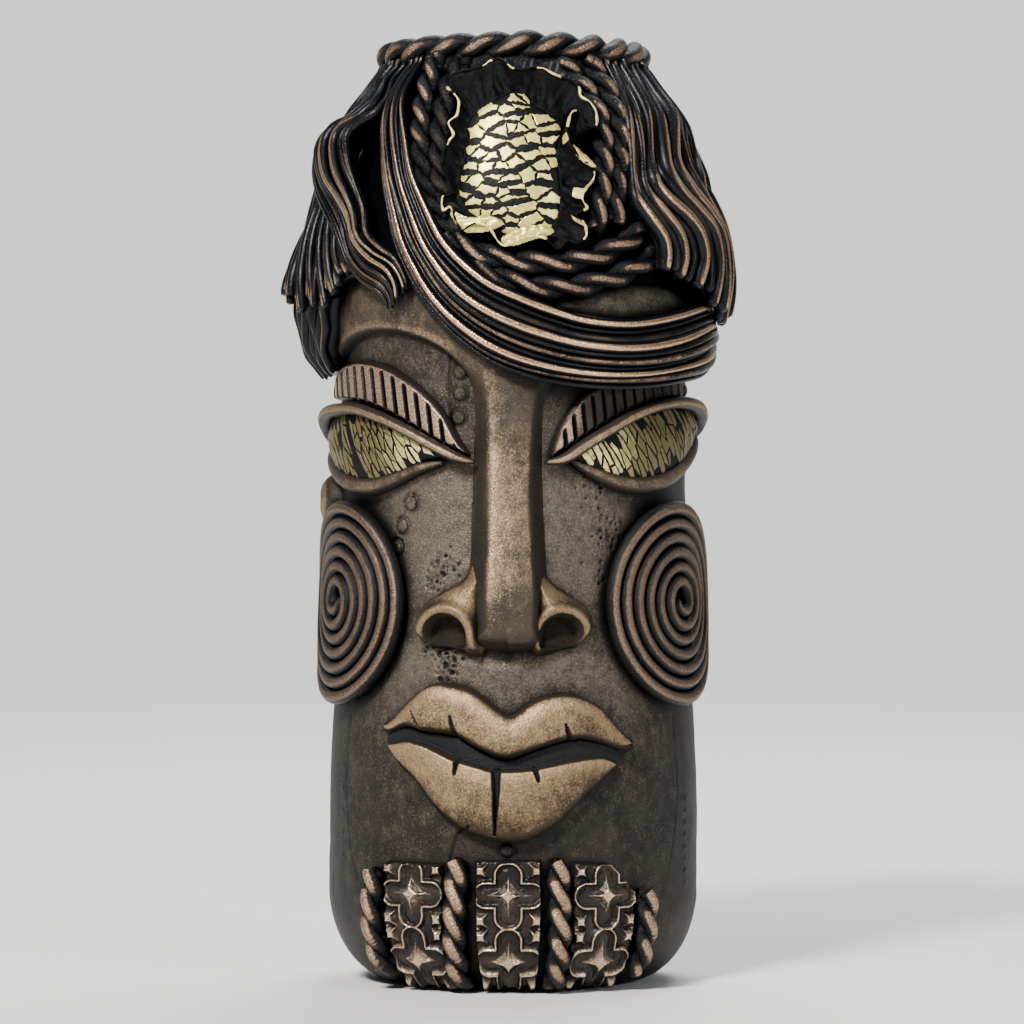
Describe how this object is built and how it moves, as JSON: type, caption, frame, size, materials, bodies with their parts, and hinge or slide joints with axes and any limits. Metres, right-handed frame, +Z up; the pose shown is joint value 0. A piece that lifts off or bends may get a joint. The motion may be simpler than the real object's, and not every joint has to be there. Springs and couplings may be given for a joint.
{
  "type": "tiki mug",
  "caption": "Tall jar-shaped mug covered in bronzed clay, with a carved mask face, coiled cheeks, corded hair and a twisted cord round the mouth.",
  "frame": {"origin": "centre of the flat underside, where the mug stands", "axes": "+Z up along the jar's axis, -Y towards the viewer of the face, +X to the viewer's right"},
  "size_m": [0.0958, 0.0938, 0.202],
  "materials": {
    "dark_clay": "satin dark bronze over black clay",
    "bronze_clay": "rubbed antique bronze, black in the hollows",
    "hair_clay": "black with copper-bronze rubbed tops",
    "gold_leaf": "crackled gold leaf on black clay",
    "jar_glass": "clear gloss"
  },
  "bodies": {
    "root": {"inner_jar": "jar_glass", "clay_skin": "dark_clay", "base_disc": "dark_clay", "forehead_sheet": "bronze_clay", "nose_ridge": "bronze_clay", "nostril_left": "bronze_clay", "nostril_right": "bronze_clay", "upper_lip": "bronze_clay", "lower_lip": "bronze_clay", "upper_lid_left": "bronze_clay", "lower_lid_left": "bronze_clay", "upper_lid_right": "bronze_clay", "lower_lid_right": "bronze_clay", "brow_fan_left": "bronze_clay", "brow_fan_right": "bronze_clay", "cheek_coil_left": "bronze_clay", "cheek_coil_right": "bronze_clay", "ear_left": "bronze_clay", "forehead_plate_right": "bronze_clay", "chin_tile_left": "bronze_clay", "chin_tile_centre": "bronze_clay", "chin_tile_right": "bronze_clay", "eye_inlay_left": "gold_leaf", "eye_inlay_right": "gold_leaf", "crackle_panel": "gold_leaf", "rim_strand_a": "hair_clay", "rim_strand_b": "hair_clay", "chin_cord_outer_left_a": "hair_clay", "chin_cord_outer_left_b": "hair_clay", "chin_cord_inner_left_a": "hair_clay", "chin_cord_inner_left_b": "hair_clay", "chin_cord_inner_right_a": "hair_clay", "chin_cord_inner_right_b": "hair_clay", "chin_cord_outer_right_a": "hair_clay", "chin_cord_outer_right_b": "hair_clay", "crackle_frill": "hair_clay", "crown_cord_right_inner": "hair_clay", "crown_cord_right_outer": "hair_clay", "crown_cord_left_inner": "hair_clay", "crown_cord_left_outer": "hair_clay", "crown_cord_lower_inner": "hair_clay", "crown_cord_lower_outer": "hair_clay", "fringe_strand_1": "hair_clay", "fringe_strand_2": "hair_clay", "fringe_strand_3": "hair_clay", "fringe_strand_4": "hair_clay", "fringe_strand_5": "hair_clay", "fringe_strand_6": "hair_clay", "lock_left": "hair_clay", "side_tail_left": "hair_clay", "lower_tail_left": "hair_clay", "lock_right": "hair_clay", "lower_tail_right": "hair_clay", "back_lock_left": "hair_clay", "back_lock_right": "hair_clay"}
  },
  "joints": []
}
